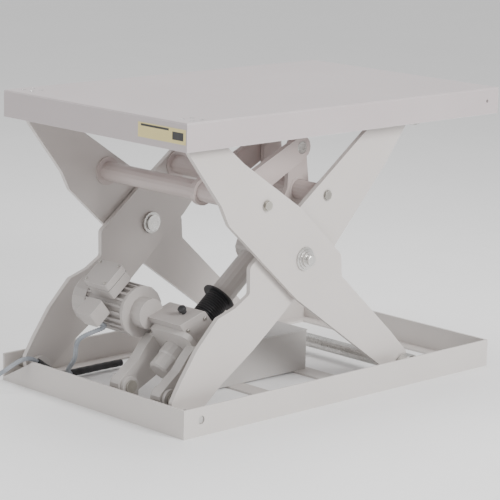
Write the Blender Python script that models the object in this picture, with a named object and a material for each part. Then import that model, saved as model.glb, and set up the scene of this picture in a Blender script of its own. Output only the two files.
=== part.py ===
"""Electric ball-screw scissor lift table.

Frame: +X along the table's long side, +Y across it, +Z up, origin on the
floor at the centre of the base frame.  Lengths below are in millimetres and
are turned into metres by MM.
"""
import math

import bmesh
import bpy
from mathutils import Matrix, Vector

MM = 0.001
GAP = 0.3                      # clearance between touching pieces

# ---------------------------------------------------------------- dimensions
TABLE_L, TABLE_W, TABLE_TOP = 1050.0, 650.0, 717.0
RIM_H, DECK_T, RIM_T = 65.0, 5.0, 5.0
BASE_L, BASE_W, BASE_H, BASE_T = 1046.0, 660.0, 68.0, 6.0
FLANGE_W, FLANGE_T = 31.0, 5.0

PIVOT_X, PIVOT_Z = -470.0, 38.0            # fixed lower pivot of the inner arms
HALF_SPAN, HALF_RISE = 358.0, 318.0        # pivot to scissor centre, at rest
CX, CZ = PIVOT_X + HALF_SPAN, PIVOT_Z + HALF_RISE
HALF_LEN = math.hypot(HALF_SPAN, HALF_RISE)
THETA = math.atan2(HALF_RISE, HALF_SPAN)
UPPER_Z = PIVOT_Z + 2 * HALF_RISE
ROLLER_X = PIVOT_X + 2 * HALF_SPAN
ARM_T = 12.0
OUTER_Y = -290.0                            # outer face of the near outer arm
INNER_Y = -272.0                            # outer face of the near inner arm
PIN_R = 12.0
ROLLER_R = 32.7
TIE_R, TIE_WALL = 24.0, 4.0                 # round cross tubes between arms

OUTER_TIE = (-191.0, 20.0)                  # cross tube in outer-arm stations
INNER_TIE = (158.0, 46.0)                   # cross tube in inner-arm stations

DRIVE_Y = -127.0                            # centre plane of the screw drive
KNEE_X, KNEE_Z = -31.0, 599.0               # knee pin of crank and link
TRUNNION_X, TRUNNION_Z = -105.0, 352.0      # crank to screw-nut trunnion
CLEVIS_X, CLEVIS_Z = -464.0, 61.0           # actuator foot pins
CRANK_Y = 36.0                              # inner face of a crank plate, from DRIVE_Y
LINK_Y = 50.0
PLATE = 12.0

SCREW_R = 12.5
SCREW_LEN = 592.0
TUBE_R = 29.0

SEG = 16

# ------------------------------------------------------------------- helpers


def clear_scene():
    for ob in list(bpy.data.objects):
        bpy.data.objects.remove(ob, do_unlink=True)


def material(name, colour, rough, metal):
    mat = bpy.data.materials.new(name)
    mat.use_nodes = True
    bsdf = mat.node_tree.nodes["Principled BSDF"]
    bsdf.inputs["Base Color"].default_value = (*colour, 1.0)
    bsdf.inputs["Roughness"].default_value = rough
    bsdf.inputs["Metallic"].default_value = metal
    return mat


PAINT = ((0.60, 0.57, 0.545), 0.42, 0.0)
STEEL = ((0.55, 0.55, 0.54), 0.32, 1.0)
ZINC = ((0.62, 0.61, 0.58), 0.35, 1.0)
BLACK = ((0.02, 0.02, 0.022), 0.6, 0.0)
MOTOR = ((0.50, 0.46, 0.43), 0.5, 0.0)
CONDUIT = ((0.30, 0.32, 0.36), 0.5, 0.0)
BRASS = ((0.75, 0.55, 0.28), 0.35, 1.0)
LABEL = ((0.70, 0.60, 0.28), 0.5, 0.0)


def finish(name, bm, look, origin=None, smooth=True):
    """Turn a bmesh in millimetres, in world coordinates, into a named object."""
    bmesh.ops.remove_doubles(bm, verts=bm.verts, dist=1e-4)
    bmesh.ops.recalc_face_normals(bm, faces=bm.faces)
    bmesh.ops.scale(bm, vec=(MM, MM, MM), verts=bm.verts)
    at = Vector((0, 0, 0)) if origin is None else Vector(origin) * MM
    bmesh.ops.translate(bm, vec=-at, verts=bm.verts)
    me = bpy.data.meshes.new(name)
    bm.to_mesh(me)
    bm.free()
    if smooth:
        me.shade_smooth()
        me.set_sharp_from_angle(angle=math.radians(35))
    me.materials.append(material(name + "_mat", *look))
    ob = bpy.data.objects.new(name, me)
    ob.location = at
    bpy.context.scene.collection.objects.link(ob)
    return ob


def merge(target, other):
    """Copy the faces of one bmesh into another."""
    me = bpy.data.meshes.new("tmp")
    other.to_mesh(me)
    target.from_mesh(me)
    bpy.data.meshes.remove(me)
    other.free()
    return target


def circle(cx, cz, r, n=SEG, phase=0.0):
    return [(cx + r * math.cos(phase + 2 * math.pi * i / n),
             cz + r * math.sin(phase + 2 * math.pi * i / n)) for i in range(n)]


def slab(outline, holes, a0, a1, plane="xz"):
    """A flat plate: a 2-D outline with holes, extruded between a0 and a1."""
    bm = bmesh.new()
    edges = []
    for loop in [outline] + list(holes):
        vs = []
        for p, q in loop:
            if plane == "xz":
                vs.append(bm.verts.new((p, a0, q)))
            elif plane == "xy":
                vs.append(bm.verts.new((p, q, a0)))
            else:
                vs.append(bm.verts.new((a0, p, q)))
        for i, v in enumerate(vs):
            edges.append(bm.edges.new((v, vs[(i + 1) % len(vs)])))
    bmesh.ops.triangle_fill(bm, use_beauty=True, use_dissolve=False, edges=edges)
    faces = list(bm.faces)
    ext = bmesh.ops.extrude_face_region(bm, geom=faces)
    moved = [g for g in ext["geom"] if isinstance(g, bmesh.types.BMVert)]
    d = a1 - a0
    vec = {"xz": (0, d, 0), "xy": (0, 0, d), "yz": (d, 0, 0)}[plane]
    bmesh.ops.translate(bm, vec=vec, verts=moved)
    bmesh.ops.recalc_face_normals(bm, faces=bm.faces)
    return bm


def turned(profile, centre, axis="y", n=SEG, closed=False):
    """A solid of revolution.  profile holds (station along axis, radius)."""
    bm = bmesh.new()
    rings = []
    for a, r in profile:
        if r <= 1e-6:
            rings.append([bm.verts.new(_place(a, 0, 0, centre, axis))])
        else:
            rings.append([bm.verts.new(_place(a, r * math.cos(2 * math.pi * i / n),
                                              r * math.sin(2 * math.pi * i / n), centre, axis))
                          for i in range(n)])
    pairs = list(zip(rings, rings[1:]))
    if closed:
        pairs.append((rings[-1], rings[0]))
    for lo, hi in pairs:
        for i in range(n):
            j = (i + 1) % n
            if len(lo) == 1 and len(hi) == 1:
                continue
            if len(lo) == 1:
                bm.faces.new((lo[0], hi[i], hi[j]))
            elif len(hi) == 1:
                bm.faces.new((lo[i], lo[j], hi[0]))
            else:
                bm.faces.new((lo[i], lo[j], hi[j], hi[i]))
    bmesh.ops.recalc_face_normals(bm, faces=bm.faces)
    return bm


def _place(a, p, q, c, axis):
    if axis == "y":
        return (c[0] + p, a, c[1] + q)
    if axis == "x":
        return (a, c[0] + p, c[1] + q)
    return (c[0] + p, c[1] + q, a)


def rod(centre, y0, y1, r, axis="y", n=SEG, chamfer=0.0):
    if chamfer:
        prof = [(y0, 0), (y0, r - chamfer), (y0 + chamfer, r), (y1 - chamfer, r), (y1, r - chamfer), (y1, 0)]
    else:
        prof = [(y0, 0), (y0, r), (y1, r), (y1, 0)]
    return turned(prof, centre, axis, n)


def pipe(centre, y0, y1, r_out, r_in, axis="y", n=SEG):
    return turned([(y0, r_in), (y0, r_out), (y1, r_out), (y1, r_in)], centre, axis, n, closed=True)


def block(x0, x1, y0, y1, z0, z1):
    bm = bmesh.new()
    bmesh.ops.create_cube(bm, size=1.0)
    bmesh.ops.scale(bm, vec=(x1 - x0, y1 - y0, z1 - z0), verts=bm.verts)
    bmesh.ops.translate(bm, vec=((x0 + x1) / 2, (y0 + y1) / 2, (z0 + z1) / 2), verts=bm.verts)
    return bm


def bevelled(bm, width, segments=2, select=None):
    edges = [e for e in bm.edges if select is None or select(e)]
    bmesh.ops.bevel(bm, geom=edges, offset=width, segments=segments, profile=0.5, affect="EDGES", clamp_overlap=True)
    return bm


def turn_bm(bm, matrix):
    bmesh.ops.transform(bm, matrix=matrix, verts=bm.verts)
    return bm


def boolean(ob, others, operation="UNION"):
    """Join or cut ob with other objects, then drop them."""
    for other in others:
        mod = ob.modifiers.new("bool", "BOOLEAN")
        mod.operation = operation
        mod.solver = "EXACT"
        mod.object = other
    dg = bpy.context.evaluated_depsgraph_get()
    me = bpy.data.meshes.new_from_object(ob.evaluated_get(dg))
    old = ob.data
    ob.modifiers.clear()
    ob.data = me
    me.name = ob.name
    bpy.data.meshes.remove(old)
    for other in others:
        bpy.data.objects.remove(other, do_unlink=True)
    return ob


def welded(name, parts, look, origin=None, cuts=()):
    """One welded piece: the union of overlapping bodies, less the cuts."""
    base = finish(name, parts[0], look, origin)
    rest = [finish(name + "_w%d" % i, p, look) for i, p in enumerate(parts[1:])]
    if rest:
        boolean(base, rest)
    if cuts:
        boolean(base, [finish(name + "_c%d" % i, c, look) for i, c in enumerate(cuts)], "DIFFERENCE")
    base.data.shade_smooth()
    base.data.set_sharp_from_angle(angle=math.radians(35))
    return base


def group(name, solids, look, origin=None):
    bm = solids[0]
    for s in solids[1:]:
        merge(bm, s)
    return finish(name, bm, look, origin)


def mirror_y(bm):
    bmesh.ops.scale(bm, vec=(1, -1, 1), verts=bm.verts)
    bmesh.ops.reverse_faces(bm, faces=bm.faces)
    return bm


def both(name, near, look, origin=None):
    """A piece on each side of the centre plane, each its own object."""
    far = mirror_y(near.copy())
    finish(name + "_near", near, look, origin)
    finish(name + "_far", far, look, origin)


def both_bm(near):
    """The near body and its mirror image, as separate bodies for a union."""
    return [near, mirror_y(near.copy())]


def smooth_line(points, step):
    """Points a step apart along a smooth curve through the given points."""
    pts = [Vector(q) for q in points]
    pts = [pts[0] * 2 - pts[1]] + pts + [pts[-1] * 2 - pts[-2]]
    fine = []
    for a, b, c, d in zip(pts, pts[1:], pts[2:], pts[3:]):
        for k in range(40):
            t = k / 40.0
            fine.append(0.5 * ((2 * b) + (c - a) * t + (2 * a - 5 * b + 4 * c - d) * t * t
                               + (3 * b - a - 3 * c + d) * t ** 3))
    fine.append(pts[-2])
    total = sum((q - p).length for p, q in zip(fine, fine[1:]))
    n = max(4, round(total / step))
    out, run, want = [fine[0]], 0.0, total / n
    for p, q in zip(fine, fine[1:]):
        seg = (q - p).length
        while run + seg >= want and len(out) < n:
            out.append(p.lerp(q, (want - run) / seg if seg else 0.0))
            want += total / n
        run += seg
    out.append(fine[-1])
    return out


def cord(name, points, radius, look, step):
    curve = bpy.data.curves.new(name, "CURVE")
    curve.dimensions = "3D"
    curve.bevel_depth = radius * MM
    curve.bevel_resolution = 2
    curve.use_fill_caps = True
    line = smooth_line(points, step)
    sp = curve.splines.new("POLY")
    sp.points.add(len(line) - 1)
    for pt, co in zip(sp.points, line):
        pt.co = (co.x * MM, co.y * MM, co.z * MM, 1.0)
    curve.materials.append(material(name + "_mat", *look))
    ob = bpy.data.objects.new(name, curve)
    bpy.context.scene.collection.objects.link(ob)
    return ob


def rounded(points, radii, n=6):
    """Round the corners of a closed polygon."""
    out = []
    m = len(points)
    for i in range(m):
        p0, p1, p2 = Vector(points[i - 1]), Vector(points[i]), Vector(points[(i + 1) % m])
        r = radii[i]
        if r <= 0:
            out.append(tuple(p1))
            continue
        a, b = (p0 - p1), (p2 - p1)
        la, lb = a.length, b.length
        a.normalize(); b.normalize()
        ang = a.angle(b)
        t = min(r / math.tan(ang / 2), 0.45 * la, 0.45 * lb)
        rr = t * math.tan(ang / 2)
        mid = (a + b).normalized()
        c = p1 + mid * (rr / math.sin(ang / 2))
        s, e = p1 + a * t - c, p1 + b * t - c
        sweep = s.angle_signed(e)
        for k in range(n + 1):
            f = -sweep * k / n
            out.append((c.x + s.x * math.cos(f) - s.y * math.sin(f),
                        c.y + s.x * math.sin(f) + s.y * math.cos(f)))
    return out


def outer_xz(s, n):
    return (CX + s * math.cos(THETA) + n * math.sin(THETA),
            CZ - s * math.sin(THETA) + n * math.cos(THETA))


def inner_xz(s, n):
    return (CX + s * math.cos(THETA) - n * math.sin(THETA),
            CZ + s * math.sin(THETA) + n * math.cos(THETA))


clear_scene()

# ---------------------------------------------------------------- base frame
hx, hy = BASE_L / 2, BASE_W / 2


def long_rail(sign):
    prof = [(-hy, 0), (-hy + BASE_T + FLANGE_W, 0), (-hy + BASE_T + FLANGE_W, FLANGE_T),
            (-hy + BASE_T, FLANGE_T), (-hy + BASE_T, BASE_H - 1.5), (-hy + BASE_T - 1.5, BASE_H),
            (-hy + 1.5, BASE_H), (-hy, BASE_H - 1.5)]
    bm = slab(prof, [], -hx, hx, "yz")
    return bm if sign < 0 else mirror_y(bm)


def side_hole(sign):
    bm = rod((PIVOT_X, PIVOT_Z), -hy - 5, -hy + BASE_T + 5, 10.0, n=16)
    return bm if sign < 0 else mirror_y(bm)


for sign, tag in ((-1, "near"), (1, "far")):
    welded("base_side_" + tag, [long_rail(sign)], PAINT, cuts=[side_hole(sign)])

yin = hy - BASE_T - GAP
yfl = hy - BASE_T - FLANGE_W - GAP


def end_rail(sign, notch):
    x_out = sign * hx
    x_in = x_out - sign * BASE_T
    x_fl = x_in - sign * 34.0
    ft = FLANGE_T + GAP
    low = [(-yin, ft), (-yfl, ft), (-yfl, 0), (yfl, 0), (yfl, ft), (yin, ft)]
    if notch:
        face = low + [(yin, 10.0), (212.0, BASE_H), (-yin, BASE_H)]
    else:
        face = low + [(yin, BASE_H), (-yin, BASE_H)]
    plate = slab(face, [], min(x_out, x_in), max(x_out, x_in), "yz")
    lo, hi = sorted((x_in + sign * 2.0, x_fl))
    foot = block(lo, hi, -yfl, yfl, 0, FLANGE_T)
    return [plate, foot]


welded("base_end_right", end_rail(1, False), PAINT)

for x0, x1, tag in ((-147.0, -93.0, "left"), (82.0, 136.0, "right")):
    finish("base_strap_" + tag, block(x0, x1, -yfl, yfl, 0, FLANGE_T), PAINT)

# ------------------------------------------------ base and table pivot lugs
def lug(px, pz, base_z, y0, y1, width=74.0, up=False):
    """An upright plate with a pin bore, standing on base_z or hanging from it."""
    r = width / 2
    pts = []
    rng = range(0, 17)
    if up:
        pts.append((px - r, base_z)); pts.append((px + r, base_z))
        pts += [(px + r * math.cos(-math.pi * k / 16), pz + r * math.sin(-math.pi * k / 16)) for k in rng]
    else:
        pts.append((px + r, base_z)); pts.append((px - r, base_z))
        pts += [(px - r * math.cos(math.pi * k / 16), pz + r * math.sin(math.pi * k / 16)) for k in rng]
    clean = []
    for p in pts:
        if not clean or math.dist(p, clean[-1]) > 0.2:
            clean.append(p)
    return slab(clean, [circle(px, pz, PIN_R + GAP)], y0, y1)


Y_IN = INNER_Y + ARM_T + 0.8
# the left end rail carries the lugs for the inner arms' fixed pivots
welded("base_end_left", end_rail(-1, True) + both_bm(lug(PIVOT_X, PIVOT_Z, 1.0, Y_IN, Y_IN + 12.0, 60.0)), PAINT)

# ------------------------------------------------------------------ the arms
OUTER_SHAPE = [(-470, 40), (-374, 46), (-317, 48), (-96, 80), (96, 78), (134, 41), (378, 38), (462, 34),
               (505, 12), (505, -16), (470, -36), (404, -44), (46, -86), (-255, -84), (-305, -65), (-390, -50),
               (-458, -38), (-500, -26), (-512, 6), (-500, 30)]
OUTER_ROUND = [20, 0, 0, 14, 14, 8, 0, 14, 14, 14, 14, 0, 26, 18, 18, 0, 12, 14, 14, 14]
INNER_SHAPE = [(-505, 20), (-487, 49), (-437, 64), (-356, 83), (-266, 89), (-214, 66), (-163, 56), (-122, 104),
               (77, 92), (351, 68), (452, 36), (500, 24), (508, 0), (496, -22), (450, -24), (340, -45), (94, -69),
               (-147, -62), (-243, -55), (-357, -39), (-470, -34), (-500, -24), (-510, 0)]
INNER_ROUND = [8, 12, 0, 10, 8, 10, 8, 14, 16, 0, 14, 12, 14, 14, 14, 0, 20, 0, 0, 0, 14, 14, 14]


def arm(shape, radii, to_xz, y0, holes):
    pts = [to_xz(s, n) for s, n in rounded(shape, radii, 2)]
    loops = [circle(*to_xz(s, n), r, 20) for s, n, r in holes]
    return slab(pts, loops, y0, y0 + ARM_T)


for sign, tag in ((-1, "near"), (1, "far")):
    bm = arm(OUTER_SHAPE, OUTER_ROUND, outer_xz, OUTER_Y,
             [(-HALF_LEN, 0, PIN_R + GAP), (HALF_LEN, 0, PIN_R + GAP), (0, 0, 18.0 + GAP), (*OUTER_TIE, 8.0)])
    finish("outer_arm_" + tag, bm if sign < 0 else mirror_y(bm), PAINT, (CX, 0, CZ))
    bm = arm(INNER_SHAPE, INNER_ROUND, inner_xz, INNER_Y,
             [(-HALF_LEN, 0, PIN_R + GAP), (HALF_LEN, 0, PIN_R + GAP), (0, 0, 18.0 + GAP), (*INNER_TIE, 8.0)])
    finish("inner_arm_" + tag, bm if sign < 0 else mirror_y(bm), PAINT, (PIVOT_X, 0, PIVOT_Z))

# round cross tubes, bolted through the arms
OT = outer_xz(*OUTER_TIE)
IT = inner_xz(*INNER_TIE)


def tie(name, at, y_arm_inner, origin):
    y0 = y_arm_inner + GAP
    prof = [(y0, 8.0), (y0, 36.0), (y0 + 5, 36.0), (y0 + 5, TIE_R), (-y0 - 5, TIE_R), (-y0 - 5, 36.0),
            (-y0, 36.0), (-y0, 8.0), (-y0 - 14, 8.0), (-y0 - 14, TIE_R - TIE_WALL),
            (y0 + 14, TIE_R - TIE_WALL), (y0 + 14, 8.0)]
    finish(name, turned(prof, at, "y", 16, closed=True), PAINT, origin)


tie("outer_cross_tube", OT, OUTER_Y + ARM_T, (CX, 0, CZ))
tie("inner_cross_tube", IT, INNER_Y + ARM_T, (PIVOT_X, 0, PIVOT_Z))


def bolt(name, at, y_face, origin, head, washer_t):
    """Washer, hexagon head and shank through each arm; y_face is the near arm's outer face."""
    for sign, tag in ((-1, "near"), (1, "far")):
        y = y_face - GAP
        body = turned([(y + 24.0, 0), (y + 24.0, 7.6), (y, 7.6), (y, 13.8), (y - washer_t, 13.8), (y - washer_t, 0)],
                      at, "y", 16)
        hexa = slab(circle(at[0], at[1], 12.0, 6, 0.3), [], y - washer_t - head, y - 0.6)
        if sign > 0:
            mirror_y(body)
            mirror_y(hexa)
        welded(name + "_" + tag, [body, hexa], ZINC, origin)


bolt("outer_tube_bolt", OT, OUTER_Y, (CX, 0, CZ), 7.0, 2.0)
bolt("inner_tube_bolt", IT, INNER_Y, (PIVOT_X, 0, PIVOT_Z), 3.0, 1.6)

# ------------------------------------------------------------- centre pivots
y = OUTER_Y
Y_BACK = INNER_Y + ARM_T
# a shouldered head stands outside the outer arm; the shank passes both arms
both("centre_pin", turned([(y - 25, 0), (y - 25, 11.0), (y - 24, 12.5), (y - 15, 12.5), (y - 14.5, 18.0), (y - 8.5, 19.0),
                            (y - 8, 23.0), (y - 4.5, 24.0), (y - 4, 28.0), (y - GAP, 29.0), (y - GAP, 18.0),
                            (Y_BACK + 0.5, 18.0), (Y_BACK + 0.5, 27.0), (Y_BACK + 9, 27.0), (Y_BACK + 9.5, 20.0),
                            (Y_BACK + 15, 20.0), (Y_BACK + 15, 0)], (CX, CZ), "y", 16), STEEL, (CX, 0, CZ))

# ------------------------------------------------------- end pins and rollers
r = PIN_R
yb = -hy + BASE_T
both("base_pivot_pin",
     turned([(yb - 3.5, 0), (yb - 3.5, 8.6), (yb - 2.6, 9.4), (yb + 0.5, 9.4), (yb + 0.5, r),
             (Y_BACK + 13.5, r), (Y_BACK + 13.5, 0)], (PIVOT_X, PIVOT_Z), "y", 16), STEEL)
both("table_pivot_pin",
     turned([(y - 7, 0), (y - 7, 17), (y - 0.8, 18), (y - 0.8, r), (y + ARM_T + 14, r), (y + ARM_T + 14, 0)],
            (PIVOT_X, UPPER_Z), "y", 16), STEEL, (PIVOT_X, 0, UPPER_Z))
# roller axles are carried by the arm ends
# one shaft carries both lower rollers
z_sh = y + ARM_T + 0.4
finish("lower_roller_shaft", turned([(yb + 3.0, 0), (yb + 3.0, r - 1), (yb + 4.0, r), (z_sh, r), (z_sh, 17.5), (-z_sh, 17.5),
                                     (-z_sh, r), (-yb - 4.0, r), (-yb - 3.0, r - 1), (-yb - 3.0, 0)],
                                    (ROLLER_X, PIVOT_Z), "y", 16), STEEL, (CX, 0, CZ))
both("upper_roller_axle",
     turned([(-304, 0), (-304, r - 1), (-303, r), (Y_BACK + 0.5, r), (Y_BACK + 0.5, 18),
             (Y_BACK + 6.0, 18), (Y_BACK + 6.0, 0)], (ROLLER_X, UPPER_Z), "y", 16), STEEL, (PIVOT_X, 0, PIVOT_Z))
for sign, tag in ((-1, "near"), (1, "far")):
    bm = turned([(yb + 4.5, r + GAP), (yb + 4.5, ROLLER_R - 1.5), (yb + 6, ROLLER_R), (y - 4.5, ROLLER_R),
                 (y - 3.2, ROLLER_R - 1.5), (y - 3.2, r + GAP)], (ROLLER_X, PIVOT_Z), "y", 16, closed=True)
    finish("lower_roller_" + tag, bm if sign < 0 else mirror_y(bm), STEEL, (ROLLER_X, 0, PIVOT_Z))
    bm = turned([(-301.5, r + GAP), (-301.5, ROLLER_R - 1.5), (-300, ROLLER_R), (-279.5, ROLLER_R),
                 (-278.2, ROLLER_R - 1.5), (-278.2, r + GAP)], (ROLLER_X, UPPER_Z), "y", 16, closed=True)
    finish("upper_roller_" + tag, bm if sign < 0 else mirror_y(bm), STEEL, (ROLLER_X, 0, UPPER_Z))

# ----------------------------------------------------------------- the table
tx, ty = TABLE_L / 2, TABLE_W / 2
deck = block(-tx, tx, -ty, ty, TABLE_TOP - DECK_T, TABLE_TOP)
bevelled(deck, 3.5, 2, lambda e: all(v.co.z > TABLE_TOP - 0.1 for v in e.verts))
rims = []
z0 = TABLE_TOP - RIM_H
over = TABLE_TOP - DECK_T + 2.0
rims.append(block(-tx, tx, -ty, -ty + RIM_T, z0, over))
rims.append(block(-tx, tx, ty - RIM_T, ty, z0, over))
rims.append(block(-tx, -tx + RIM_T, -ty, ty, z0, over))
rims.append(block(tx - RIM_T, tx, -ty, ty, z0, over))
rims += both_bm(block(20.0, 500.0, -312.0, -273.0, UPPER_Z + ROLLER_R + GAP, over))
rims += both_bm(lug(PIVOT_X, UPPER_Z, over, OUTER_Y + ARM_T + 0.8, OUTER_Y + ARM_T + 12.8, 60.0, up=True))
cut = [rod((tx - 42.0, TABLE_TOP - 32.0), -ty - 4, -ty + RIM_T + 4, 4.5, n=16)]
welded("table_top", [deck] + rims, PAINT, (PIVOT_X, 0, UPPER_Z), cut)
# ------------------------------------------------------- crank, link and knee
def dogbone(a, ra, b, rb, y0, y1, holes, waist=None):
    """A plate with two round ends joined by their common tangents."""
    (ax, az), (bx, bz) = a, b
    d = math.hypot(bx - ax, bz - az)
    ang = math.atan2(bz - az, bx - ax)
    off = math.acos((ra - rb) / d)
    pts = []
    for k in range(9):
        f = ang + off + (2 * math.pi - 2 * off) * k / 8
        pts.append((ax + ra * math.cos(f), az + ra * math.sin(f)))
    for k in range(9):
        f = ang - off + 2 * off * k / 8
        pts.append((bx + rb * math.cos(f), bz + rb * math.sin(f)))
    return slab(pts, holes, y0, y1)


knee, trun = (KNEE_X, KNEE_Z), (TRUNNION_X, TRUNNION_Z)
BUSH = 30.0
crank = []
for side in (-1, 1):
    a, b = sorted((DRIVE_Y + side * CRANK_Y, DRIVE_Y + side * (CRANK_Y + PLATE)))
    crank.append(dogbone(IT, 36.0, knee, 28.0, a, b, [circle(*IT, TIE_R + 0.6, 20)]))
    crank.append(dogbone(IT, 36.0, trun, 32.0, a, b, [circle(*IT, TIE_R + 0.6, 20)]))
    # the trunnion pin is fixed in the plate and stops short of the nut collar
    c, d = sorted((DRIVE_Y + side * (CRANK_Y + PLATE - 2.0), DRIVE_Y + side * (CRANK_Y + PLATE + 3.0)))
    crank.append(rod(trun, c, d, 17.0))
    c, d = sorted((DRIVE_Y + side * (CRANK_Y + PLATE + 1.0), DRIVE_Y + side * (CRANK_Y + PLATE + 11.0)))
    crank.append(slab(circle(*trun, 14.5, 6, 0.2), [], c, d))
crank.append(pipe(IT, DRIVE_Y - CRANK_Y - PLATE - 1.5, DRIVE_Y + CRANK_Y + PLATE + 1.5, BUSH, TIE_R + 0.6, n=20))
welded("lift_crank", crank, PAINT, (IT[0], 0, IT[1]))
for side, tag in ((-1, "near"), (1, "far")):
    a, b = sorted((DRIVE_Y + side * LINK_Y, DRIVE_Y + side * (LINK_Y + 14.0)))
    finish("link_plate_" + tag, dogbone(OT, 33.0, knee, 28.0, a, b, [circle(*OT, TIE_R + 0.6, 20), circle(*knee, 15.5)]),
           PAINT, (OT[0], 0, OT[1]))
for side, tag in ((-1, "near"), (1, "far")):
    a, b = sorted((DRIVE_Y + side * (LINK_Y - 1.4), DRIVE_Y + side * (LINK_Y + 14.6)))
    finish("knee_pin_" + tag, rod(knee, a, b, 15.0, n=16, chamfer=0.8), STEEL, (OT[0], 0, OT[1]))

# ------------------------------------------------------------- screw actuator
FI = math.atan2(TRUNNION_Z - CLEVIS_Z, TRUNNION_X - CLEVIS_X)
REACH = math.hypot(TRUNNION_Z - CLEVIS_Z, TRUNNION_X - CLEVIS_X)
# local frame: X runs along the screw from the foot pin, Z square to it, Y across
ACT = (Matrix.Translation((CLEVIS_X, DRIVE_Y, CLEVIS_Z)) @ Matrix.Rotation(-FI, 4, "Y"))
FOOT = (CLEVIS_X, DRIVE_Y, CLEVIS_Z)


def act(bm):
    return turn_bm(bm, ACT)


YOKE_U0, YOKE_T = 128.0, 14.0
FORK_Y, FORK_T = 58.0, 28.0
BOX_U0, BOX_U1 = YOKE_U0 + YOKE_T + GAP, 218.0

# yoke: a square flange with two legs that end in pin eyes
yoke_plate = slab(rounded([(-80, -62), (80, -62), (80, 30), (50, 50), (50, 68), (-80, 68)], [16, 16, 6, 6, 8, 16], 2),
                  [circle(0, 0, 33.0, 16)], YOKE_U0, YOKE_U0 + YOKE_T, "yz")
legs, leg_cuts = [yoke_plate], []
for s in (-1, 1):
    a, b = sorted((s * FORK_Y, s * (FORK_Y + FORK_T)))
    leg = slab(rounded([(-28, -10), (-20, -30), (20, -34), (70, -46), (YOKE_U0 + 3, -52), (YOKE_U0 + 3, 36),
                        (100, 34), (60, 26), (20, 28), (-20, 28)], [12, 14, 14, 0, 0, 0, 0, 14, 14, 14], 2),
               [circle(0, 0, PIN_R + GAP, 16)], a, b)
    legs.append(leg)
for bm in legs:
    act(bm)
welded("actuator_yoke", legs, PAINT, FOOT)

finish("screw_end_cap", act(turned([(58, 0), (58, 24), (62, 30), (96, 30), (100, 32), (YOKE_U0 + YOKE_T - 0.2, 32),
                                    (YOKE_U0 + YOKE_T - 0.2, 0)], (0, 0), "x", 16)), PAINT, FOOT)

MOTOR_U, MOTOR_W = 154.0, 84.0           # motor axis in the actuator frame
MY = 98.0                                # rear face of the motor flange
# bevel gearbox housing, with the round neck and flange that carry the motor
gb = slab(rounded([(BOX_U0, -62), (BOX_U1, -56), (BOX_U1, 58), (BOX_U0, 88)], [0, 8, 8, 0], 2), [], -58, 62)
bevelled(gb, 3.0, 1, lambda e: abs(e.verts[0].co.y - e.verts[1].co.y) < 1e-3)
nose = turned([(BOX_U1 - 4, 0), (BOX_U1 - 4, 34), (BOX_U1 + 5, 34), (BOX_U1 + 7, 32), (BOX_U1 + 7, 0)], (0, 0), "x", 16)
bore = turned([(BOX_U1 - 60, 0), (BOX_U1 - 60, SCREW_R + 1.5), (BOX_U1 + 30, SCREW_R + 1.5), (BOX_U1 + 30, 0)],
              (0, 0), "x", 16)
neck = turned([(54, 0), (54, 37), (88, 37), (88, 62), (MY - 1, 62), (MY, 61), (MY, 0)], (MOTOR_U, MOTOR_W), "y", 16)
welded("gearbox_housing", [act(gb), act(nose), act(neck)], MOTOR, FOOT, cuts=[act(bore)])

MOTOR_R = 61.0


def along_y(profile, n=16, closed=False):
    return act(turned(profile, (MOTOR_U, MOTOR_W), "y", n, closed))


def finned(y0, y1, r0, r1, fins, bore_r):
    pts = []
    for i in range(fins):
        f0 = 2 * math.pi * i / fins
        w = 2 * math.pi / fins
        for df, rr in ((0.00, r0), (0.40, r0), (0.46, r1), (0.74, r1), (0.80, r0)):
            f = f0 + df * w
            pts.append((MOTOR_U + rr * math.cos(f), MOTOR_W + rr * math.sin(f)))
    out = []
    for p in pts:
        if not out or math.dist(out[-1], p) > 0.3:
            out.append(p)
    return slab(out, [circle(MOTOR_U, MOTOR_W, bore_r, 20)], y0, y1)


finish("motor_body", act(finned(MY + GAP, MY + 128, 54.0, MOTOR_R, 22, 40.0)), MOTOR, FOOT)
finish("motor_rotor", along_y([(MY + 6, 0), (MY + 6, 34), (MY + 120, 34), (MY + 121, 9), (MY + 170, 9), (MY + 170, 0)], 24),
       STEEL, FOOT)
finish("fan_cowl", along_y([(MY + 128 + GAP, 62.5), (MY + 172, 62.5), (MY + 179, 58), (MY + 182, 50), (MY + 182, 14),
                            (MY + 179, 14), (MY + 179, 48), (MY + 171, 58.5), (MY + 128 + GAP, 58.5)], 20, closed=True),
       MOTOR, FOOT)
blades = [turned([(MY + 144, 9.4), (MY + 144, 16), (MY + 166, 16), (MY + 166, 9.4)], (MOTOR_U, MOTOR_W), "y", 16, closed=True)]
for k in range(6):
    b = block(MOTOR_U + 14, MOTOR_U + 50, MY + 146, MY + 164, MOTOR_W - 1.2, MOTOR_W + 1.2)
    turn_bm(b, Matrix.Translation((MOTOR_U, 0, MOTOR_W)) @ Matrix.Rotation(k * math.pi / 3, 4, "Y")
            @ Matrix.Translation((-MOTOR_U, 0, -MOTOR_W)))
    blades.append(b)
welded("cooling_fan", [act(b) for b in blades], BLACK, FOOT)

# terminal boxes on top of the motor, each a box with a gasket and a lid
def prism(u0, u1, y0, y1, w0, w1, c=6.0):
    bm = block(u0, u1, y0, y1, w0, w1)
    bevelled(bm, c, 2, lambda e: abs(e.verts[0].co.z - e.verts[1].co.z) > 1e-3)
    return act(bm)


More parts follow.
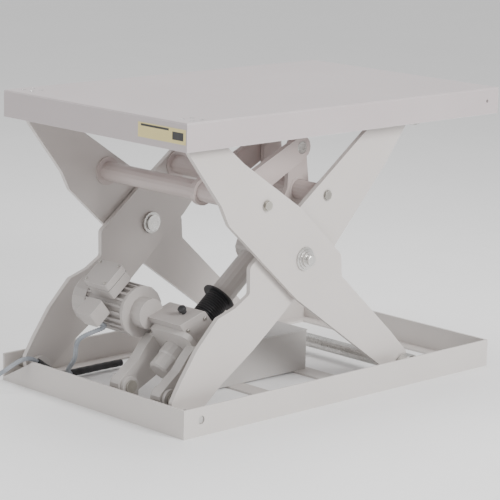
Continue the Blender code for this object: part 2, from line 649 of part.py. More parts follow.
TBW = MOTOR_W + MOTOR_R + GAP
finish("terminal_box", prism(MOTOR_U - 26, MOTOR_U + 44, MY + 22, MY + 104, TBW, TBW + 26), MOTOR, FOOT)
finish("terminal_lid", prism(MOTOR_U - 26, MOTOR_U + 44, MY + 22, MY + 104, TBW + 26 + 1.6, TBW + 46), MOTOR, FOOT)
AUX = (MOTOR_U - 98, MOTOR_U - 48, MY + 30, MY + 84, MOTOR_W + 39.5, MOTOR_W + 80.0)
finish("aux_terminal_box", prism(*AUX), MOTOR, FOOT)

# ball screw, nut and cover tube
thread = [(BOX_U1 - 55, 0), (BOX_U1 - 55, 10.0), (BOX_U1 + 8, 10.0)]
thread += [(BOX_U1 + 8, SCREW_R)]
thread += [(SCREW_LEN - 2, SCREW_R), (SCREW_LEN, SCREW_R - 2.0), (SCREW_LEN, 0)]
finish("ball_screw", act(turned(thread, (0, 0), "x", 12)), STEEL, FOOT)

NUT_U = 300.0
finish("ball_nut", act(turned([(NUT_U + 6, SCREW_R + 0.5), (NUT_U + 6, 24.7), (NUT_U + 42, 24.7), (NUT_U + 42, SCREW_R + 0.5)],
                              (0, 0), "x", 16, closed=True)), STEEL, FOOT)
TUBE_END = REACH + 134.0
finish("nut_tube", act(turned([(TUBE_END, 25.0), (TUBE_END, TUBE_R), (NUT_U + 7, TUBE_R), (NUT_U + 7, 34.0), (NUT_U, 34.0),
                               (NUT_U, 20.0), (NUT_U + 5, 20.0), (NUT_U + 5, 25.0)], (0, 0), "x", 16, closed=True)), PAINT, FOOT)

# trunnion collar clamped round the tube, between the crank plates
collar = slab(rounded([(REACH - 34, -36), (REACH + 34, -36), (REACH + 34, 36), (REACH - 34, 36)], [10] * 4, 3), [], -35.2, 35.2)
hole = turned([(REACH - 60, 0), (REACH - 60, TUBE_R + GAP), (REACH + 60, TUBE_R + GAP), (REACH + 60, 0)], (0, 0), "x", 16)
welded("nut_trunnion", [act(collar)], PAINT, FOOT, cuts=[act(hole)])

# bellows over the screw, from the gearbox nose to the tube flange
B0, B1 = BOX_U1 + 7 + GAP, NUT_U - GAP
outer, inner = [], []
n_fold = 3
pitch = (B1 - B0 - 8.0) / n_fold
outer += [(B0, 36.0), (B0 + 3.0, 36.0), (B0 + 3.0, 27.0)]
inner += [(B0, 21.0), (B0 + 3.0, 21.0)]
for k in range(n_fold):
    base = B0 + 4.0 + k * pitch
    outer += [(base + pitch * 0.5, 31.0), (base + pitch, 25.0)]
    inner += [(base + pitch * 0.5, 28.0), (base + pitch, 22.0)]
outer += [(B1 - 3.0, 26.0), (B1 - 3.0, 44.0), (B1, 44.0)]
inner += [(B1, 22.0)]
finish("bellows", act(turned(outer + inner[::-1], (0, 0), "x", 16, closed=True)), BLACK, FOOT)

# foot bracket: a plate with two pairs of ears, and the two pins
FOOT_X0 = -hx + BASE_T + 34.0 + GAP
ears = [block(FOOT_X0, -400.0, DRIVE_Y - 116, DRIVE_Y + 116, 0, 8.0)]
for s, tag in ((-1, "near"), (1, "far")):
    yc = DRIVE_Y + s * (FORK_Y + FORK_T / 2)
    for side in (-1, 1):
        y0 = yc + side * (FORK_T / 2 + 1.2)
        a, b = sorted((y0, y0 + side * 9.0))
        r_ear = 24.0
        pts = [(CLEVIS_X + r_ear, 4.0), (max(FOOT_X0 + 0.5, CLEVIS_X - r_ear), 4.0)]
        pts += [(CLEVIS_X + r_ear * math.cos(math.pi * (1 - k / 12)), CLEVIS_Z + r_ear * math.sin(math.pi * (1 - k / 12)))
                for k in range(13)]
        ears.append(slab(pts, [circle(CLEVIS_X, CLEVIS_Z, PIN_R + GAP, 16)], a, b))
    a, b = yc - FORK_T / 2 - 11.0, yc + FORK_T / 2 + 11.0
    finish("foot_pin_" + tag, turned([(a - 5, 0), (a - 5, 16), (a, 16), (a, 12), (b, 12), (b, 16), (b + 5, 16), (b + 5, 0)],
                       (CLEVIS_X, CLEVIS_Z), "y", 16), STEEL)
welded("actuator_foot", ears, PAINT)

# ------------------------------------------------------------- control box
cbx0, cbx1, cby0, cby1, cbz0, cbz1 = -190.0, 122.0, -74.0, 96.0, FLANGE_T + GAP, 105.0
shell = block(cbx0, cbx1, cby0, cby1, cbz0, cbz1)
hollow = block(cbx0 + 2, cbx1 - 2, cby0 + 2, cby1 - 2, cbz0 + 2, cbz1 + 5)
welded("control_box_tray", [shell], PAINT, cuts=[hollow])
lid = block(cbx0 - 1.5, cbx1 + 1.5, cby0 - 1.5, cby1 + 1.5, cbz1 + GAP, cbz1 + 3.0)
bevelled(lid, 1.2, 2, lambda e: all(v.co.z > cbz1 + 2.9 for v in e.verts))
finish("control_box_lid", lid, PAINT)

# --------------------------------------------------------------------- cables
start = ACT @ Vector((AUX[0] + 24.0, (AUX[2] + AUX[3]) / 2, AUX[4] - 2.0))
down = (ACT @ Vector((AUX[0] + 24.0, (AUX[2] + AUX[3]) / 2, AUX[4] - 34.0))) - start
BUNDLE_Y, BUNDLE_R = 234.0, 9.0
cord("motor_conduit", [start, start + down * 0.5, start + down, (-497, 70, 150), (-478, 110, 92), (-452, 165, 48), (-420, 196, 26), (-413, 212, 19),
                       (-412, BUNDLE_Y - BUNDLE_R - 1.4, 18)], 5.8, CONDUIT, 14.0)
bz = FLANGE_T + GAP + BUNDLE_R
cord("cable_bundle", [(-225, BUNDLE_Y, bz), (-290, BUNDLE_Y + 1, bz), (-380, BUNDLE_Y, bz), (-425, BUNDLE_Y, bz + 3),
                      (-462, BUNDLE_Y - 2, bz + 24), (-492, BUNDLE_Y, bz + 46)], BUNDLE_R, BLACK, 22.0)
CORD_R = 5.5
COIL = (-670.0, 440.0)
COIL_R, TURNS = 60.0, 3.25
PITCH = 11.15
end_dir = (Vector((-492, BUNDLE_Y, bz + 46)) - Vector((-462, BUNDLE_Y - 2, bz + 24))).normalized()
first = Vector((-492, BUNDLE_Y, bz + 46)) + end_dir * 1.5
floor_z = CORD_R + GAP
# the lead drops over the cut corner, crosses the floor and meets the coil along its tangent
cord("supply_cord", [first, (-508, 234.6, 69.4), (-525, 235.6, 72.6), (-543, 238.2, 69.6), (-560, 244, 60.5),
                     (-575, 254, 48), (-588, 270, 34), (-599, 291, 21), (-606.5, 318, 11), (-610, 348, 6.6),
                     (-610, 376, floor_z), (COIL[0] + COIL_R, COIL[1] - 38.0, floor_z)], CORD_R, CONDUIT, 20.0)
finish("supply_coil", pipe(COIL, GAP, floor_z + TURNS * PITCH + CORD_R, COIL_R + CORD_R, COIL_R - CORD_R, "z", 24), CONDUIT)
PLUG_AT = Vector((COIL[0] - 44.0, COIL[1] + COIL_R, 34.0))
PLUG_END = Vector((COIL[0] - 150.0, COIL[1] + COIL_R, 22.5))
plug_len = (PLUG_END - PLUG_AT).length
plug = turned([(0, 0), (0, 6.6), (34, 9.5), (38, 16), (48, 18), (plug_len - 46, 18), (plug_len - 42, 22),
               (plug_len - 2, 22), (plug_len, 20), (plug_len, 0)], (0, 0), "x", 20)
turn_bm(plug, Matrix.Translation(PLUG_AT) @ Vector((1, 0, 0)).rotation_difference(PLUG_END - PLUG_AT).to_matrix().to_4x4())
finish("supply_plug", plug, BLACK)
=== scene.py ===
import math

import bmesh
import bpy
from mathutils import Matrix, Vector


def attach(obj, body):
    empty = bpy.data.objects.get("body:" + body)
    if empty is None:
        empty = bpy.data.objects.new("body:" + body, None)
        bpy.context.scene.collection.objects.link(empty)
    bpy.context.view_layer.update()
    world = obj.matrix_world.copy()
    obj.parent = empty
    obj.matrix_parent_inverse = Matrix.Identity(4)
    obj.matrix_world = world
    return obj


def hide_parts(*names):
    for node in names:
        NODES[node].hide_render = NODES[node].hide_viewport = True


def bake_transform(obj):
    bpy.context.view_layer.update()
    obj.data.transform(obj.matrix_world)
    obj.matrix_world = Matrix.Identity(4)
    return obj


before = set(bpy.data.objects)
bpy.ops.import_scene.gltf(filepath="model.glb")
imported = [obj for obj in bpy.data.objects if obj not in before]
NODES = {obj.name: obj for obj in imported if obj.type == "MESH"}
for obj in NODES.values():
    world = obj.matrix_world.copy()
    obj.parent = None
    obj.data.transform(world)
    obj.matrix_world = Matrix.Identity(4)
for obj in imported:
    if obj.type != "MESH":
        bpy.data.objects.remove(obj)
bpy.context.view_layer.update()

MM = 0.001


# ------------------------------------------------------------------ materials
def base_nodes(name):
    mat = bpy.data.materials.new(name)
    mat.use_nodes = True
    nt = mat.node_tree
    return mat, nt, nt.nodes["Principled BSDF"]


def noise(nt, scale, detail=4.0, rough=0.6, coord=None):
    n = nt.nodes.new("ShaderNodeTexNoise")
    n.inputs["Scale"].default_value = scale
    n.inputs["Detail"].default_value = detail
    n.inputs["Roughness"].default_value = rough
    if coord is None:
        coord = nt.nodes.new("ShaderNodeTexCoord").outputs["Object"]
    nt.links.new(coord, n.inputs["Vector"])
    return n.outputs["Fac"]


def ramp(nt, fac, stops):
    r = nt.nodes.new("ShaderNodeValToRGB")
    el = r.color_ramp.elements
    while len(el) < len(stops):
        el.new(0.5)
    for e, (pos, col) in zip(el, stops):
        e.position = pos
        e.color = (*col, 1.0)
    nt.links.new(fac, r.inputs["Fac"])
    return r.outputs["Color"]


def remap(nt, fac, lo, hi, a=0.3, b=0.7):
    m = nt.nodes.new("ShaderNodeMapRange")
    m.inputs["From Min"].default_value = a
    m.inputs["From Max"].default_value = b
    m.inputs["To Min"].default_value = lo
    m.inputs["To Max"].default_value = hi
    nt.links.new(fac, m.inputs["Value"])
    return m.outputs["Result"]


def mix(nt, fac, a, b):
    m = nt.nodes.new("ShaderNodeMix")
    m.data_type = "RGBA"
    nt.links.new(fac, m.inputs[0])
    for sock, val in ((m.inputs[6], a), (m.inputs[7], b)):
        if isinstance(val, tuple):
            sock.default_value = (*val, 1.0)
        else:
            nt.links.new(val, sock)
    return m.outputs[2]


def edge_mask(nt, radius=0.0016):
    """1 on the edges of a piece and 0 on its flats, whatever its mesh."""
    bev = nt.nodes.new("ShaderNodeBevel")
    bev.samples = 4
    bev.inputs["Radius"].default_value = radius
    geo = nt.nodes.new("ShaderNodeNewGeometry")
    dot = nt.nodes.new("ShaderNodeVectorMath")
    dot.operation = "DOT_PRODUCT"
    nt.links.new(bev.outputs["Normal"], dot.inputs[0])
    nt.links.new(geo.outputs["Normal"], dot.inputs[1])
    return remap(nt, dot.outputs["Value"], 0.0, 1.0, 0.995, 0.86)


def bump(nt, bsdf, fac, strength, distance):
    b = nt.nodes.new("ShaderNodeBump")
    b.inputs["Strength"].default_value = strength
    b.inputs["Distance"].default_value = distance
    nt.links.new(fac, b.inputs["Height"])
    nt.links.new(b.outputs["Normal"], bsdf.inputs["Normal"])


def paint(name, base, dark, edge_wear_and_highlight, rough=(0.34, 0.5), coat=0.25, wear=0.85, orange=0.05):
    """Enamel: slow colour drift, fine orange-peel bump, bright edges that are partly rubbed wear and partly painted
    highlight.
    """
    mat, nt, b = base_nodes(name)
    tone = ramp(nt, noise(nt, 3.5, 5), [(0.32, dark), (0.68, base)])
    # edge colour: partly rubbed wear, partly a painted highlight that lightens every edge; wear sets its top strength
    mask = edge_mask(nt)
    spot = remap(nt, noise(nt, 45.0, 6, 0.7), 0.15, wear, 0.35, 0.65)
    both = nt.nodes.new("ShaderNodeMath")
    both.operation = "MULTIPLY"
    nt.links.new(mask, both.inputs[0])
    nt.links.new(spot, both.inputs[1])
    nt.links.new(mix(nt, both.outputs[0], tone, edge_wear_and_highlight), b.inputs["Base Color"])
    nt.links.new(remap(nt, noise(nt, 14.0, 6), rough[0], rough[1]), b.inputs["Roughness"])
    b.inputs["Metallic"].default_value = 0.0
    b.inputs["Coat Weight"].default_value = coat
    b.inputs["Coat Roughness"].default_value = 0.22
    bump(nt, b, noise(nt, 420.0, 2), orange, 0.0004)
    return mat


def metal(name, base, dark, rough=(0.22, 0.42), scale=220.0):
    mat, nt, b = base_nodes(name)
    tone = ramp(nt, noise(nt, 28.0, 6), [(0.3, dark), (0.7, base)])
    # painted highlight: every edge goes to a near-white colour
    nt.links.new(mix(nt, edge_mask(nt), tone, (0.86, 0.85, 0.83)), b.inputs["Base Color"])
    nt.links.new(remap(nt, noise(nt, scale, 3), rough[0], rough[1]), b.inputs["Roughness"])
    b.inputs["Metallic"].default_value = 1.0
    bump(nt, b, noise(nt, 700.0, 2), 0.08, 0.0003)
    return mat


def soft(name, base, light, rough=(0.45, 0.65), grain=0.15):
    mat, nt, b = base_nodes(name)
    tone = ramp(nt, noise(nt, 20.0, 5), [(0.3, base), (0.75, light)])
    # painted highlight: every edge, the bellows fold crests too, goes to a lighter colour
    nt.links.new(mix(nt, edge_mask(nt), tone, tuple(min(1.0, c * 1.6 + 0.02) for c in light)), b.inputs["Base Color"])
    nt.links.new(remap(nt, noise(nt, 60.0, 4), rough[0], rough[1]), b.inputs["Roughness"])
    b.inputs["Metallic"].default_value = 0.0
    bump(nt, b, noise(nt, 500.0, 3), grain, 0.0004)
    return mat


FRAME = paint("enamel_frame", (0.61, 0.575, 0.55), (0.58, 0.545, 0.52), (0.80, 0.78, 0.76))
ARM = paint("enamel_arm", (0.585, 0.545, 0.52), (0.555, 0.515, 0.49), (0.79, 0.77, 0.75))
DECK = paint("enamel_deck", (0.50, 0.445, 0.45), (0.475, 0.42, 0.425), (0.86, 0.85, 0.84), rough=(0.38, 0.46), wear=1.0)
LINKAGE = paint("enamel_linkage", (0.53, 0.455, 0.435), (0.50, 0.43, 0.41), (0.76, 0.73, 0.71))
DRIVE = paint("enamel_drive", (0.53, 0.50, 0.48), (0.48, 0.45, 0.43), (0.74, 0.73, 0.71))
CASTING = paint("enamel_casting", (0.46, 0.43, 0.41), (0.39, 0.36, 0.345), (0.70, 0.68, 0.66), rough=(0.45, 0.62),
                coat=0.05, orange=0.3)
BOX = paint("enamel_box", (0.47, 0.45, 0.435), (0.43, 0.41, 0.395), (0.80, 0.79, 0.78))
STEEL = metal("bright_steel", (0.66, 0.65, 0.63), (0.50, 0.49, 0.47))
ZINC = metal("zinc_plate", (0.50, 0.48, 0.43), (0.36, 0.34, 0.31), rough=(0.3, 0.45))
DARK_STEEL = metal("dark_steel", (0.30, 0.30, 0.30), (0.18, 0.18, 0.18))
RUBBER = soft("bellows_rubber", (0.022, 0.022, 0.024), (0.05, 0.05, 0.053), rough=(0.32, 0.45), grain=0.05)
SHEATH = soft("black_sheath", (0.014, 0.014, 0.015), (0.035, 0.035, 0.037), rough=(0.35, 0.5))
CONDUIT = soft("grey_conduit", (0.22, 0.24, 0.27), (0.34, 0.36, 0.39), rough=(0.4, 0.55))
FAN = soft("fan_black", (0.015, 0.015, 0.016), (0.04, 0.04, 0.042))
LABEL = paint("label_yellow", (0.70, 0.60, 0.26), (0.64, 0.54, 0.23), (0.80, 0.74, 0.50), coat=0.5, orange=0.02)
LABEL_INK = soft("label_ink", (0.02, 0.02, 0.02), (0.05, 0.05, 0.05), rough=(0.35, 0.45), grain=0.02)
GASKET = soft("gasket_black", (0.01, 0.01, 0.01), (0.025, 0.025, 0.025))


def wear(node, mat, slot):
    ob = NODES[node]
    ob.data.materials.clear()
    ob.data.materials.append(mat)
    for p in ob.data.polygons:
        p.material_index = 0


SETS = (
    (FRAME, "frame_paint", ("base_side_near", "base_side_far", "base_end_left", "base_end_right", "base_strap_left",
                            "base_strap_right")),
    (ARM, "frame_paint", ("outer_arm_near", "outer_arm_far", "inner_arm_near", "inner_arm_far")),
    (DECK, "frame_paint", ("table_top",)),
    (LINKAGE, "frame_paint", ("lift_crank", "link_plate_near", "link_plate_far", "outer_cross_tube", "inner_cross_tube")),
    (DRIVE, "frame_paint", ("actuator_foot", "actuator_yoke", "screw_end_cap", "nut_tube", "nut_trunnion")),
    (BOX, "frame_paint", ("control_box_tray", "control_box_lid")),
    (CASTING, "motor_grey", ("gearbox_housing", "motor_body", "fan_cowl", "terminal_box", "terminal_lid",
                             "aux_terminal_box")),
    (STEEL, "steel", ("centre_pin_near", "centre_pin_far", "knee_pin_near", "knee_pin_far", "base_pivot_pin_near",
                      "base_pivot_pin_far", "table_pivot_pin_near", "table_pivot_pin_far", "lower_roller_near",
                      "lower_roller_far", "upper_roller_near", "upper_roller_far", "lower_roller_shaft",
                      "upper_roller_axle_near", "upper_roller_axle_far", "ball_screw", "ball_nut", "motor_rotor")),
    (ZINC, "steel", ("outer_tube_bolt_near", "outer_tube_bolt_far", "inner_tube_bolt_near", "inner_tube_bolt_far",
                     "foot_pin_near", "foot_pin_far")),
    (RUBBER, "rubber_black", ("bellows",)),
    (FAN, "fan_plastic", ("cooling_fan",)),
    (SHEATH, "cable_black", ("cable_bundle", "supply_plug")),
    (CONDUIT, "cable_grey", ("motor_conduit", "supply_cord", "supply_coil")),
)
for mat, slot, names in SETS:
    for n in names:
        wear(n, mat, slot)


# -------------------------------------------------------------------- pieces
def add(name, bm, mat, body, angle=35.0):
    """A visual piece in millimetres that rides on a body, or is left loose between bodies where body is None."""
    bmesh.ops.recalc_face_normals(bm, faces=bm.faces)
    bmesh.ops.scale(bm, vec=(MM, MM, MM), verts=bm.verts)
    me = bpy.data.meshes.new(name)
    bm.to_mesh(me)
    bm.free()
    me.shade_smooth()
    me.set_sharp_from_angle(angle=math.radians(angle))
    me.materials.append(mat)
    ob = bpy.data.objects.new(name, me)
    bpy.context.scene.collection.objects.link(ob)
    if body is not None:
        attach(ob, body)
    return ob


def turned(profile, n=32, closed=False):
    """Turned about the local X axis; profile is (station, radius)."""
    bm = bmesh.new()
    rings = []
    for a, r in profile:
        if r <= 1e-6:
            rings.append([bm.verts.new((a, 0, 0))])
        else:
            rings.append([bm.verts.new((a, r * math.cos(2 * math.pi * i / n), r * math.sin(2 * math.pi * i / n)))
                          for i in range(n)])
    pairs = list(zip(rings, rings[1:]))
    if closed:
        pairs.append((rings[-1], rings[0]))
    for lo, hi in pairs:
        for i in range(n):
            j = (i + 1) % n
            if len(lo) == 1 and len(hi) == 1:
                continue
            if len(lo) == 1:
                bm.faces.new((lo[0], hi[i], hi[j]))
            elif len(hi) == 1:
                bm.faces.new((lo[i], lo[j], hi[0]))
            else:
                bm.faces.new((lo[i], lo[j], hi[j], hi[i]))
    return bm


def cuboid(x0, x1, y0, y1, z0, z1, bevel=0.0):
    bm = bmesh.new()
    bmesh.ops.create_cube(bm, size=1.0)
    bmesh.ops.scale(bm, vec=(x1 - x0, y1 - y0, z1 - z0), verts=bm.verts)
    bmesh.ops.translate(bm, vec=((x0 + x1) / 2, (y0 + y1) / 2, (z0 + z1) / 2), verts=bm.verts)
    if bevel:
        bmesh.ops.bevel(bm, geom=list(bm.edges), offset=bevel, segments=2, profile=0.5, affect="EDGES")
    return bm


def moved(bm, m):
    bmesh.ops.transform(bm, matrix=m, verts=bm.verts)
    return bm


CLEVIS = (-464.0, -127.0, 61.0)
TRUN = (-105.0, 352.0)
FI = math.atan2(TRUN[1] - CLEVIS[2], TRUN[0] - CLEVIS[0])
REACH = math.hypot(TRUN[1] - CLEVIS[2], TRUN[0] - CLEVIS[0])
ACT = Matrix.Translation(CLEVIS) @ Matrix.Rotation(-FI, 4, "Y")
NUT_U, NOSE_U = 300.0, 225.3

# fine bellows over the coarse sleeve: same ends, same largest radius
outer, inner = [(NOSE_U, 36.0), (NOSE_U + 3, 36.0), (NOSE_U + 3, 27.0)], [(NOSE_U, 21.0), (NOSE_U + 3, 22.0)]
folds = 11
pitch = (NUT_U - 0.3 - 3.0 - NOSE_U - 4.0) / folds
for k in range(folds):
    b = NOSE_U + 4.0 + k * pitch
    outer += [(b + pitch * 0.42, 30.6), (b + pitch * 0.58, 30.6), (b + pitch * 0.95, 24.5)]
    inner += [(b + pitch * 0.5, 28.4), (b + pitch, 22.6)]
outer += [(NUT_U - 3.3, 26.0), (NUT_U - 3.3, 43.5), (NUT_U - 0.3, 43.5)]
inner += [(NUT_U - 0.3, 22.0)]
ob = add("bellows_fine", moved(turned(outer + inner[::-1], 40, True), ACT), RUBBER, None, 50)
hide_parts("bellows")
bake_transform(ob)

# gasket line between the terminal box and its lid
MOTOR_U, MOTOR_W, MY, TBW = 154.0, 84.0, 98.0, 84.0 + 61.3
add("terminal_gasket", moved(cuboid(MOTOR_U - 25, MOTOR_U + 43, MY + 23, MY + 103, TBW + 26.1, TBW + 27.5), ACT), GASKET,
    "actuator")
# breather plug on the gearbox, and four screws on the terminal lid
add("breather_plug", moved(turned([(0, 0), (0, 7), (7, 7), (8, 10), (15, 10), (17, 8), (17, 0)], 20),
                           ACT @ Matrix.Translation((190, -20, 72)) @ Matrix.Rotation(-math.pi / 2, 4, "Y")), SHEATH,
    "actuator")
for i, (du, dv) in enumerate(((-18, 30), (36, 30), (-18, 96), (36, 96))):
    add("terminal_screw_%d" % i, moved(turned([(0, 0), (0, 3.4), (2.2, 3.4), (3.0, 2.4), (3.0, 0)], 12),
                                       ACT @ Matrix.Translation((MOTOR_U + du, MY + dv, TBW + 46.05))
                                       @ Matrix.Rotation(-math.pi / 2, 4, "Y")), ZINC, "actuator")
# gearbox cover bolts on the near face
for i, (du, dw) in enumerate(((152, -46), (206, -42), (206, 44), (152, 60))):
    add("gearbox_bolt_%d" % i, moved(turned([(0, 0), (0, 5), (4, 5), (4.6, 4.2), (4.6, 0)], 6),
                                     ACT @ Matrix.Translation((du, -58.2, dw)) @ Matrix.Rotation(-math.pi / 2, 4, "Z")),
        ZINC, "actuator")

# the deck again with countersunk recesses, and its screws just under the surface
TOP = 717.0
SCREW_AT = [(-487, -299), (-459, -299), (-487, -267), (-459, -267), (-487, 299), (-459, 299), (-487, 267), (-459, 267)]
deck = NODES["table_top"].copy()
deck.data = NODES["table_top"].data.copy()
deck.name = "table_top_fine"
bpy.context.scene.collection.objects.link(deck)
cutters = bmesh.new()
for sx, sy in SCREW_AT:
    cone = moved(turned([(-2.6, 0), (-2.6, 5.2), (0.8, 8.6), (0.8, 0)], 24),
                 Matrix.Translation((sx, sy, TOP)) @ Matrix.Rotation(-math.pi / 2, 4, "Y"))
    tmp = bpy.data.meshes.new("tmp")
    cone.to_mesh(tmp)
    cutters.from_mesh(tmp)
    bpy.data.meshes.remove(tmp)
    cone.free()
bmesh.ops.recalc_face_normals(cutters, faces=cutters.faces)
bmesh.ops.scale(cutters, vec=(MM, MM, MM), verts=cutters.verts)
cut_me = bpy.data.meshes.new("deck_cutters")
cutters.to_mesh(cut_me)
cutters.free()
cutter = bpy.data.objects.new("deck_cutters", cut_me)
bpy.context.scene.collection.objects.link(cutter)
mod = deck.modifiers.new("recess", "BOOLEAN")
mod.operation = "DIFFERENCE"
mod.solver = "EXACT"
mod.object = cutter
bpy.context.view_layer.update()
cut = bpy.data.meshes.new_from_object(deck.evaluated_get(bpy.context.evaluated_depsgraph_get()))
deck.modifiers.clear()
deck.data = cut
bpy.data.objects.remove(cutter, do_unlink=True)
cut.materials.clear()
cut.materials.append(DECK)
for poly in cut.polygons:
    poly.material_index = 0
cut.shade_smooth()
cut.set_sharp_from_angle(angle=math.radians(12))
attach(deck, "table")
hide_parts("table_top")
for k, (sx, sy) in enumerate(SCREW_AT):
    add("deck_screw_%d" % k, moved(turned([(-2.5, 0), (-2.5, 4.9), (-0.5, 6.9), (-0.5, 3.0), (-1.9, 2.7), (-1.9, 0)], 24),
                                   Matrix.Translation((sx, sy, TOP)) @ Matrix.Rotation(-math.pi / 2, 4, "Y")),
        DARK_STEEL, "table")

# a plain yellow plate with two blank dark bars on the short rim
LY0, LY1, LZ0, LZ1 = -321.0, -162.0, 668.0, 702.0
add("rim_label", cuboid(-525.5, -525.05, LY0, LY1, LZ0, LZ1), LABEL, "table")
add("rim_label_bar_a", cuboid(-525.75, -525.5, LY0 + 8, LY0 + 44, LZ0 + 8, LZ1 - 8), LABEL_INK, "table")
add("rim_label_bar_b", cuboid(-525.75, -525.5, LY0 + 56, LY1 - 10, LZ0 + 26, LZ0 + 31), LABEL_INK, "table")


# --------------------------------------------------------------------- cables
def smooth_line(points, step):
    pts = [Vector(q) for q in points]
    pts = [pts[0] * 2 - pts[1]] + pts + [pts[-1] * 2 - pts[-2]]
    fine = []
    for a, b, c, d in zip(pts, pts[1:], pts[2:], pts[3:]):
        for k in range(40):
            t = k / 40.0
            fine.append(0.5 * ((2 * b) + (c - a) * t + (2 * a - 5 * b + 4 * c - d) * t * t
                               + (3 * b - a - 3 * c + d) * t ** 3))
    fine.append(pts[-2])
    total = sum((q - p).length for p, q in zip(fine, fine[1:]))
    n = max(4, round(total / step))
    out, run, want = [fine[0]], 0.0, total / n
    for p, q in zip(fine, fine[1:]):
        seg = (q - p).length
        while run + seg >= want and len(out) < n:
            out.append(p.lerp(q, (want - run) / seg if seg else 0.0))
            want += total / n
        run += seg
    out.append(fine[-1])
    return out


def sweep(line, radius, n=14):
    """A closed tube along a line of points; radius(i) is in millimetres."""
    bm = bmesh.new()
    tang = [(line[min(i + 1, len(line) - 1)] - line[max(i - 1, 0)]).normalized() for i in range(len(line))]
    ref = tang[0].orthogonal().normalized()
    rings = []
    for i, (p, t) in enumerate(zip(line, tang)):
        if i:
            ref = (tang[i - 1].rotation_difference(t) @ ref).normalized()
        ref = (ref - t * ref.dot(t)).normalized()
        side = t.cross(ref)
        r = radius(i)
        rings.append([bm.verts.new(p + (ref * math.cos(2 * math.pi * j / n) + side * math.sin(2 * math.pi * j / n)) * r)
                      for j in range(n)])
    for lo, hi in zip(rings, rings[1:]):
        for j in range(n):
            k = (j + 1) % n
            bm.faces.new((lo[j], lo[k], hi[k], hi[j]))
    bm.faces.new(rings[0][::-1])
    bm.faces.new(rings[-1])
    return bm


AUX = (MOTOR_U - 98, MOTOR_U - 48, MY + 30, MY + 84, MOTOR_W + 39.5, MOTOR_W + 80.0)
start = ACT @ Vector((AUX[0] + 24.0, (AUX[2] + AUX[3]) / 2, AUX[4] - 2.0))
down = (ACT @ Vector((AUX[0] + 24.0, (AUX[2] + AUX[3]) / 2, AUX[4] - 34.0))) - start
BY, BR = 234.0, 9.0
BZ = 5.3 + BR
line = smooth_line([start, start + down * 0.5, start + down, (-497, 70, 150), (-478, 110, 92), (-452, 165, 48),
                    (-420, 196, 26), (-413, 212, 19), (-412, BY - BR - 1.4, 18)], 1.5)
ob = add("motor_conduit_fine", sweep(line, lambda i: (5.75, 5.75, 4.9, 4.9)[i % 4], 14), CONDUIT, None, 60)
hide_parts("motor_conduit")
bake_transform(ob)
line = smooth_line([(-225, BY, BZ), (-290, BY + 1, BZ), (-380, BY, BZ), (-425, BY, BZ + 3), (-462, BY - 2, BZ + 24),
                    (-492, BY, BZ + 46)], 4.0)
ob = add("cable_bundle_fine", sweep(line, lambda i: BR - 0.2 - 0.25 * math.sin(i * 0.9), 18), SHEATH, "base",
         60)
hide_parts("cable_bundle")

# the supply lead: out over the cut corner, across the floor, one neat coil, then its plug
CORD_R, COIL, COIL_R, TURNS, PITCH = 5.5, (-670.0, 440.0), 60.0, 3.25, 11.15
floor_z = CORD_R + 0.3
end_dir = (Vector((-492, BY, BZ + 46)) - Vector((-462, BY - 2, BZ + 24))).normalized()
first = Vector((-492, BY, BZ + 46)) + end_dir * 1.5
route = [first, (-508, 234.6, 69.4), (-525, 235.6, 72.6), (-543, 238.2, 69.6), (-560, 244, 60.5), (-575, 254, 48),
         (-588, 270, 34), (-599, 291, 21), (-606.5, 318, 11), (-610, 348, 6.6), (-610, 376, floor_z),
         (COIL[0] + COIL_R, COIL[1] - 38.0, floor_z)]
steps = 20
for i in range(round(TURNS * steps) + 1):
    f = 2 * math.pi * i / steps
    route.append((COIL[0] + COIL_R * math.cos(f), COIL[1] + COIL_R * math.sin(f), floor_z + PITCH * f / (2 * math.pi)))
route += [(COIL[0] - 22.0, COIL[1] + COIL_R, 38.6), (COIL[0] - 43.6, COIL[1] + COIL_R, 34.1)]
lead = smooth_line(route, 6.0)
curve = bpy.data.curves.new("supply_lead", "CURVE")
curve.dimensions = "3D"
curve.bevel_depth = CORD_R * MM
curve.bevel_resolution = 5
curve.use_fill_caps = True
sp = curve.splines.new("POLY")
sp.points.add(len(lead) - 1)
for pt, co in zip(sp.points, lead):
    pt.co = (co.x * MM, co.y * MM, co.z * MM, 1.0)
sp.use_smooth = True
curve.materials.append(CONDUIT)
supply = bpy.data.objects.new("supply_lead", curve)
bpy.context.scene.collection.objects.link(supply)
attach(supply, "base")
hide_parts("supply_cord", "supply_coil")

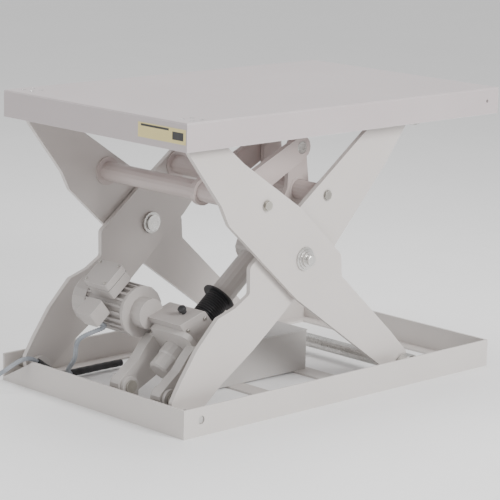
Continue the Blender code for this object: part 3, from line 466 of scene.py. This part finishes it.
# ---------------------------------------------------------------- surroundings
floor_mat, nt, b = base_nodes("pale_floor")
nt.links.new(ramp(nt, noise(nt, 1.5, 3), [(0.3, (0.93, 0.93, 0.93)), (0.7, (0.95, 0.95, 0.95))]), b.inputs["Base Color"])
nt.links.new(remap(nt, noise(nt, 8.0, 3), 0.55, 0.7), b.inputs["Roughness"])
bump(nt, b, noise(nt, 90.0, 2), 0.02, 0.0005)
bm = bmesh.new()
bmesh.ops.create_grid(bm, x_segments=1, y_segments=1, size=30.0)
me = bpy.data.meshes.new("floor")
bm.to_mesh(me)
bm.free()
me.materials.append(floor_mat)
floor = bpy.data.objects.new("floor", me)
bpy.context.scene.collection.objects.link(floor)

world = bpy.data.worlds.new("studio")
bpy.context.scene.world = world
world.use_nodes = True
world.node_tree.nodes["Background"].inputs["Color"].default_value = (1.0, 1.0, 1.0, 1.0)
world.node_tree.nodes["Background"].inputs["Strength"].default_value = 0.8


def light(name, at, target, size, power):
    data = bpy.data.lights.new(name, "AREA")
    data.shape = "SQUARE"
    data.size = size
    data.energy = power
    ob = bpy.data.objects.new(name, data)
    ob.location = at
    ob.rotation_euler = (Vector(target) - Vector(at)).to_track_quat("-Z", "Y").to_euler()
    bpy.context.scene.collection.objects.link(ob)
    return ob


light("key", (0.2, -3.8, 2.4), (0, 0, 0.3), 1.4, 165.0)
light("fill", (-3.6, 1.4, 1.6), (0, 0, 0.3), 1.6, 22.0)
light("top", (0.4, 0.6, 3.4), (0, 0, 0.5), 2.2, 70.0)

# ---------------------------------------------------------------------- camera
az, el, roll = math.radians(-44.113), math.radians(11.917), math.radians(1.434)
back = Vector((math.sin(az) * math.cos(el), -math.cos(az) * math.cos(el), math.sin(el)))
right = (-back).cross(Vector((0, 0, 1))).normalized()
up = right.cross(-back)
r2 = right * math.cos(roll) + up * math.sin(roll)
u2 = -right * math.sin(roll) + up * math.cos(roll)
cam = bpy.data.cameras.new("camera")
cam.sensor_width = 36.0
cam.lens = 2223.5 / 500.0 * 36.0
cam.clip_end = 100.0
camera = bpy.data.objects.new("camera", cam)
m = Matrix((r2, u2, back)).transposed().to_4x4()
m.translation = Vector((-3.7562, -3.8631, 1.4504))
camera.matrix_world = m
bpy.context.scene.collection.objects.link(camera)
bpy.context.scene.camera = camera

bpy.context.view_layer.update()
